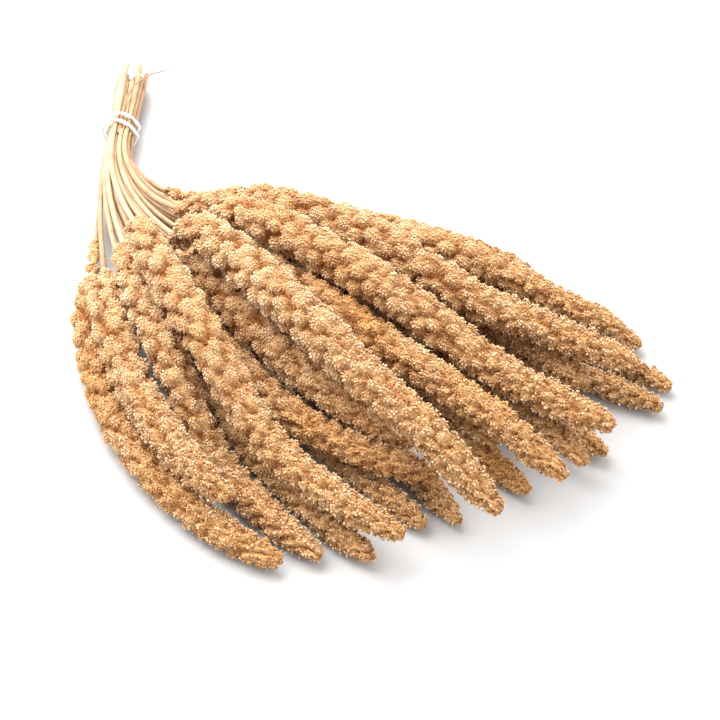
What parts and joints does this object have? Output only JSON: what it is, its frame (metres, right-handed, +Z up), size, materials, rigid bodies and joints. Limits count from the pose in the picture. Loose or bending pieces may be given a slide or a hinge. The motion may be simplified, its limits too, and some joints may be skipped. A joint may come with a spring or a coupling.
{
  "type": "millet seed head bunch",
  "caption": "Dried bunch of foxtail millet sprays: drooping granular seed heads fanned out from straw stems bound with a white tie, lying flat.",
  "frame": {"origin": "bottom centre of the bunch's bounding box, on the surface that it lies on", "axes": "+Y along the bundled stems towards their cut ends, +Z up, +X towards the side that the heads fan out to"},
  "size_m": [0.3798, 0.5214, 0.0893],
  "materials": {
    "seed_head": "dry granular seed husks, matt, golden tan",
    "straw": "dry straw with fine lengthwise fibres, slight sheen",
    "tie_cord": "white twisted cord, matt"
  },
  "bodies": {
    "root": {"head_01": "seed_head", "head_02": "seed_head", "head_03": "seed_head", "head_04": "seed_head", "head_05": "seed_head", "head_06": "seed_head", "head_07": "seed_head", "head_08": "seed_head", "head_09": "seed_head", "head_10": "seed_head", "head_11": "seed_head", "head_12": "seed_head", "head_13": "seed_head", "head_14": "seed_head", "head_15": "seed_head", "head_16": "seed_head", "head_17": "seed_head", "head_18": "seed_head", "head_19": "seed_head", "head_20": "seed_head", "head_21": "seed_head", "head_22": "seed_head", "head_23": "seed_head", "head_24": "seed_head", "head_25": "seed_head", "stem_01": "straw", "stem_02": "straw", "stem_03": "straw", "stem_04": "straw", "stem_05": "straw", "stem_06": "straw", "stem_07": "straw", "stem_08": "straw", "stem_09": "straw", "stem_10": "straw", "stem_11": "straw", "stem_12": "straw", "stem_13": "straw", "stem_14": "straw", "stem_15": "straw", "stem_16": "straw", "stem_17": "straw", "stem_18": "straw", "stem_19": "straw", "stem_20": "straw", "stem_21": "straw", "stem_22": "straw", "stem_23": "straw", "stem_24": "straw", "stem_25": "straw", "tie": "tie_cord", "strand": "straw"}
  },
  "joints": []
}
